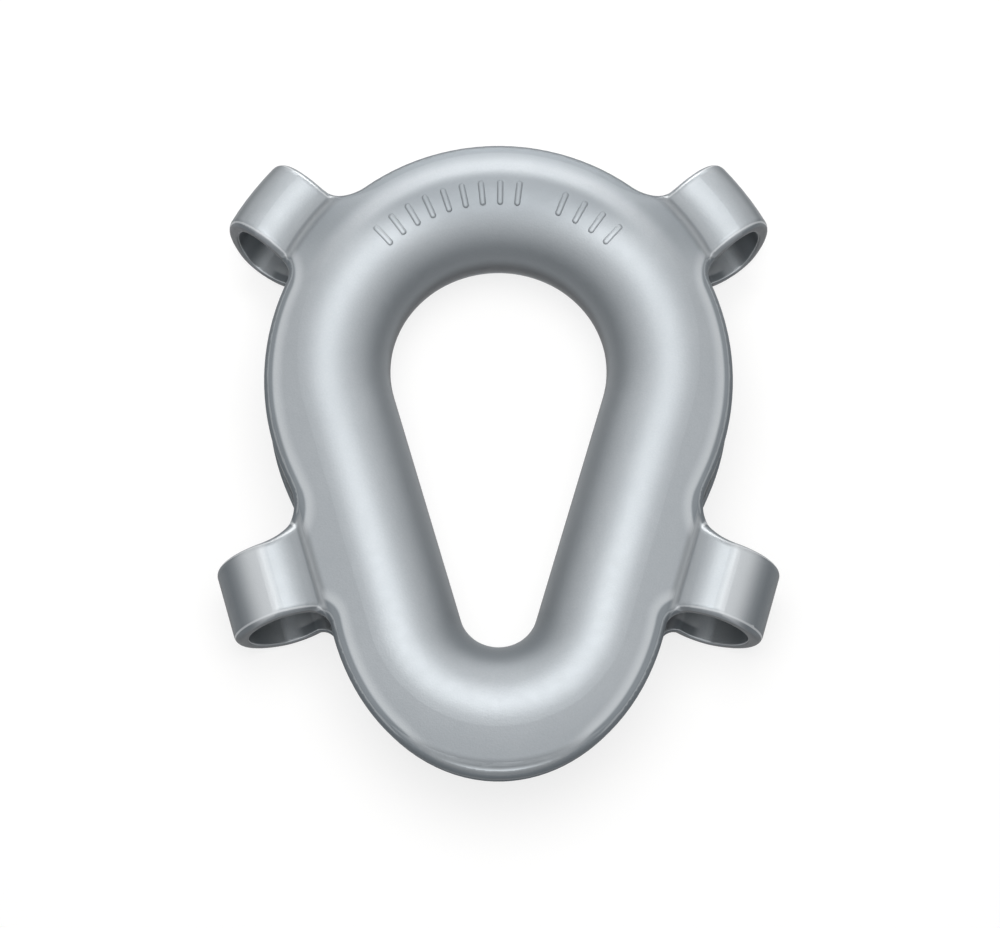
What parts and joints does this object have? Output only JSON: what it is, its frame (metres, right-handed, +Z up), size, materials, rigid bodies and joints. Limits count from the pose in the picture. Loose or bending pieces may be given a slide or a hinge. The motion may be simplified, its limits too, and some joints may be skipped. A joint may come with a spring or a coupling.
{
  "type": "semi-enclosed rope thimble",
  "caption": "One-piece cast thimble for fibre rope: a teardrop eye inside a deep rope groove, with closed loops that keep the rope in.",
  "frame": {"origin": "centre of the underside: the middle of the bounding box in X and Y, at the crest of the body's back, on which the thimble lies", "axes": "+Y from the eye's narrow heel to its round crown, +Z up through the depth of the groove, +X across"},
  "size_m": [0.1306, 0.1534, 0.031],
  "materials": {
    "galvanised": "hot-dip galvanised casting, satin grey with a fine grain"
  },
  "bodies": {
    "root": {"rope_thimble": "galvanised"}
  },
  "joints": []
}
